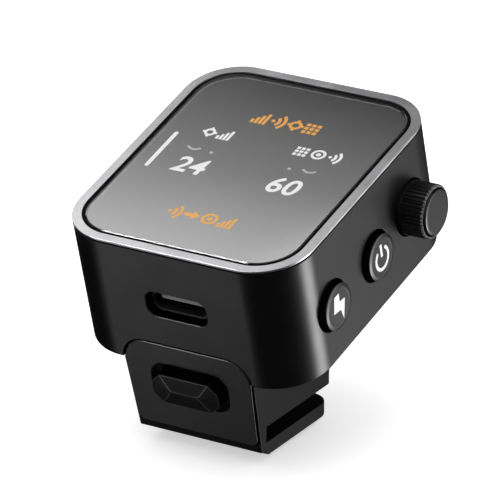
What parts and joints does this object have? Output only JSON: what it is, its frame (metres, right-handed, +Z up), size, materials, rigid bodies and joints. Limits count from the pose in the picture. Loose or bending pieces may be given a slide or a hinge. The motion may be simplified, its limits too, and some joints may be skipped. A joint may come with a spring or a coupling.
{
  "type": "wireless flash trigger",
  "caption": "Small touch-screen flash trigger that leans back on a camera-shoe foot, with side push buttons, a knurled dial, a charging port and a lock release.",
  "frame": {"origin": "middle of the shoe plate's underside", "axes": "+Z up from the shoe, +Y the way the foot slides into the shoe, away from the person reading the screen, +X to that person's right, where the buttons and dial are"},
  "size_m": [0.0402, 0.0461, 0.0429],
  "materials": {
    "casing_plastic": "fine spark-eroded satin",
    "rim_metal": "bead-blasted and anodised",
    "gasket_rubber": "matt",
    "cover_glass": "polished",
    "display_module": "smooth",
    "flex_film": "smooth film",
    "circuit_board": "solder mask",
    "chip_plastic": "moulded",
    "screw_steel": "zinc plated",
    "sheet_steel": "tinned sheet",
    "battery_foil": "pouch foil",
    "plug_nylon": "moulded",
    "wire_red": "extruded",
    "socket_steel": "drawn",
    "tongue_plastic": "moulded",
    "button_plastic": "satin",
    "dial_rubber": "knurled",
    "release_plastic": "satin",
    "contact_gold": "gold plated",
    "spring_steel": "drawn wire"
  },
  "bodies": {
    "casing": {"housing": "casing_plastic", "bezel_frame": "rim_metal", "glass_gasket": "gasket_rubber", "cover_glass": "cover_glass", "display_panel": "display_module", "display_ribbon": "flex_film", "main_board": "circuit_board", "board_parts": "chip_plastic", "board_screws": "screw_steel", "rf_shield": "sheet_steel", "antenna": "sheet_steel", "battery": "battery_foil", "battery_plug": "plug_nylon", "battery_lead": "wire_red", "usb_shell": "socket_steel", "usb_tongue": "tongue_plastic", "side_board": "circuit_board", "flash_switch": "sheet_steel", "mode_switch": "sheet_steel", "encoder_case": "sheet_steel", "foot_block": "casing_plastic", "foot_screws": "screw_steel", "shoe_foot": "casing_plastic", "shoe_screws": "screw_steel", "foot_cover": "casing_plastic", "contact_board": "circuit_board", "foot_ribbon": "flex_film", "lock_spring": "spring_steel", "spring_centre": "spring_steel", "spring_data_1": "spring_steel", "spring_data_2": "spring_steel", "spring_data_3": "spring_steel", "spring_data_4": "spring_steel"},
    "flash_key": {"flash_button": "button_plastic", "flash_plunger": "chip_plastic"},
    "mode_key": {"mode_button": "button_plastic", "mode_plunger": "chip_plastic"},
    "dial_axle": {"encoder_plunger": "chip_plastic"},
    "dial": {"dial_shaft": "screw_steel", "dial_ring": "dial_rubber", "dial_disc": "button_plastic"},
    "release_slider": {"release_button": "release_plastic"},
    "lock": {"lock_pin": "screw_steel"},
    "centre_plunger": {"contact_centre": "contact_gold"},
    "data_plunger_1": {"contact_data_1": "contact_gold"},
    "data_plunger_2": {"contact_data_2": "contact_gold"},
    "data_plunger_3": {"contact_data_3": "contact_gold"},
    "data_plunger_4": {"contact_data_4": "contact_gold"}
  },
  "joints": [
    {"name": "flash_press", "type": "slide", "parent": "casing", "child": "flash_key", "axis": [-1, 0, 0], "range_m": [0, 0.00035], "stiffness_N_per_m": 2000, "springref_m": -0.0003},
    {"name": "mode_press", "type": "slide", "parent": "casing", "child": "mode_key", "axis": [-1, 0, 0], "range_m": [0, 0.00035], "stiffness_N_per_m": 2000, "springref_m": -0.0003},
    {"name": "dial_press", "type": "slide", "parent": "casing", "child": "dial_axle", "axis": [-1, 0, 0], "range_m": [0, 0.0004], "stiffness_N_per_m": 2500, "springref_m": -0.0004},
    {"name": "dial_turn", "type": "hinge", "parent": "dial_axle", "child": "dial", "pos_m": [0.018, 0.01486, 0.02964], "axis": [1, 0, 0], "continuous": true},
    {"name": "release_press", "type": "slide", "parent": "casing", "child": "release_slider", "axis": [0, 0.9659, 0.2588], "range_m": [0, 0.0013], "stiffness_N_per_m": 150, "springref_m": -0.001},
    {"name": "lock_lift", "type": "slide", "parent": "casing", "child": "lock", "axis": [0, 0, 1], "range_m": [0, 0.0011], "stiffness_N_per_m": 100, "springref_m": -0.001, "deforming": ["lock_spring"]},
    {"name": "centre_press", "type": "slide", "parent": "casing", "child": "centre_plunger", "axis": [0, 0, 1], "range_m": [0, 0.00055], "stiffness_N_per_m": 100, "springref_m": -0.0005, "deforming": ["spring_centre"]},
    {"name": "data_press_1", "type": "slide", "parent": "casing", "child": "data_plunger_1", "axis": [0, 0, 1], "range_m": [0, 0.00055], "stiffness_N_per_m": 100, "springref_m": -0.0005, "deforming": ["spring_data_1"]},
    {"name": "data_press_2", "type": "slide", "parent": "casing", "child": "data_plunger_2", "axis": [0, 0, 1], "range_m": [0, 0.00055], "stiffness_N_per_m": 100, "springref_m": -0.0005, "deforming": ["spring_data_2"]},
    {"name": "data_press_3", "type": "slide", "parent": "casing", "child": "data_plunger_3", "axis": [0, 0, 1], "range_m": [0, 0.00055], "stiffness_N_per_m": 100, "springref_m": -0.0005, "deforming": ["spring_data_3"]},
    {"name": "data_press_4", "type": "slide", "parent": "casing", "child": "data_plunger_4", "axis": [0, 0, 1], "range_m": [0, 0.00055], "stiffness_N_per_m": 100, "springref_m": -0.0005, "deforming": ["spring_data_4"]}
  ],
  "couplings": [
    {"joint": "lock_lift", "follows": "release_press", "ratio": 0.84615}
  ]
}
